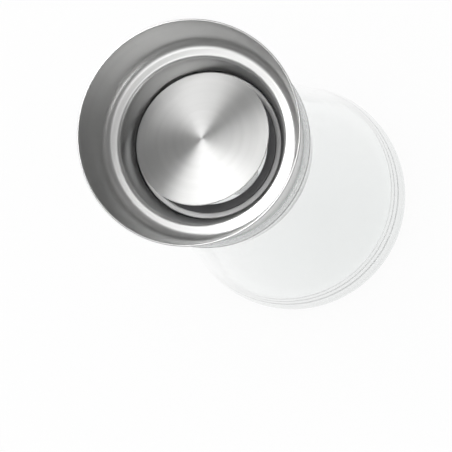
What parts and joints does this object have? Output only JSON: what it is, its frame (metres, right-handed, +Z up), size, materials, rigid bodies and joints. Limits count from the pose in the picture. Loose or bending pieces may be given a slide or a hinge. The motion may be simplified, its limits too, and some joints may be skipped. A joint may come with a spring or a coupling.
{
  "type": "carafe",
  "caption": "Clear glass carafe with a flared brushed-steel pouring collar and a round steel lid that tips open by its own weight",
  "frame": {"origin": "the middle of the face that the glass stands on", "axes": "+Z up along the axis of the glass, from the foot to the rim; +X is the side of the lid that lifts, so the hinge is on the -X side; +Y completes the right-handed frame"},
  "size_m": [0.1058, 0.1058, 0.242],
  "materials": {
    "glass": "clear blown glass, polished",
    "satin_steel": "satin stainless steel, brushed along its turned form",
    "spun_steel": "stainless steel with fine rings of spun brushing",
    "plain_steel": "turned stainless steel, fine matt",
    "silicone": "soft matt grey silicone",
    "milky_silicone": "soft milky silicone",
    "plastic": "moulded plastic, fine matt"
  },
  "bodies": {
    "glass": {"glass_body": "glass"},
    "collar": {"throat_tube": "satin_steel", "pouring_collar": "satin_steel", "seal_sleeve": "milky_silicone", "lid_carrier": "satin_steel", "lid_seal": "silicone", "carrier_o_ring": "silicone", "snap_ring": "plain_steel", "hinge_pin": "plain_steel"},
    "lid": {"lid_disc": "spun_steel", "lid_core": "plastic", "lid_stem": "plain_steel", "counterweight": "plain_steel", "weight_nut": "plain_steel"}
  },
  "joints": [
    {"name": "collar_lift", "type": "slide", "parent": "glass", "child": "collar", "axis": [0, 0, 1], "range_m": [0, 0.06]},
    {"name": "lid_tilt", "type": "hinge", "parent": "collar", "child": "lid", "pos_m": [-0.025, 0, 0.2041], "axis": [0, -1, 0], "range_deg": [-13.3, 10.7]}
  ]
}
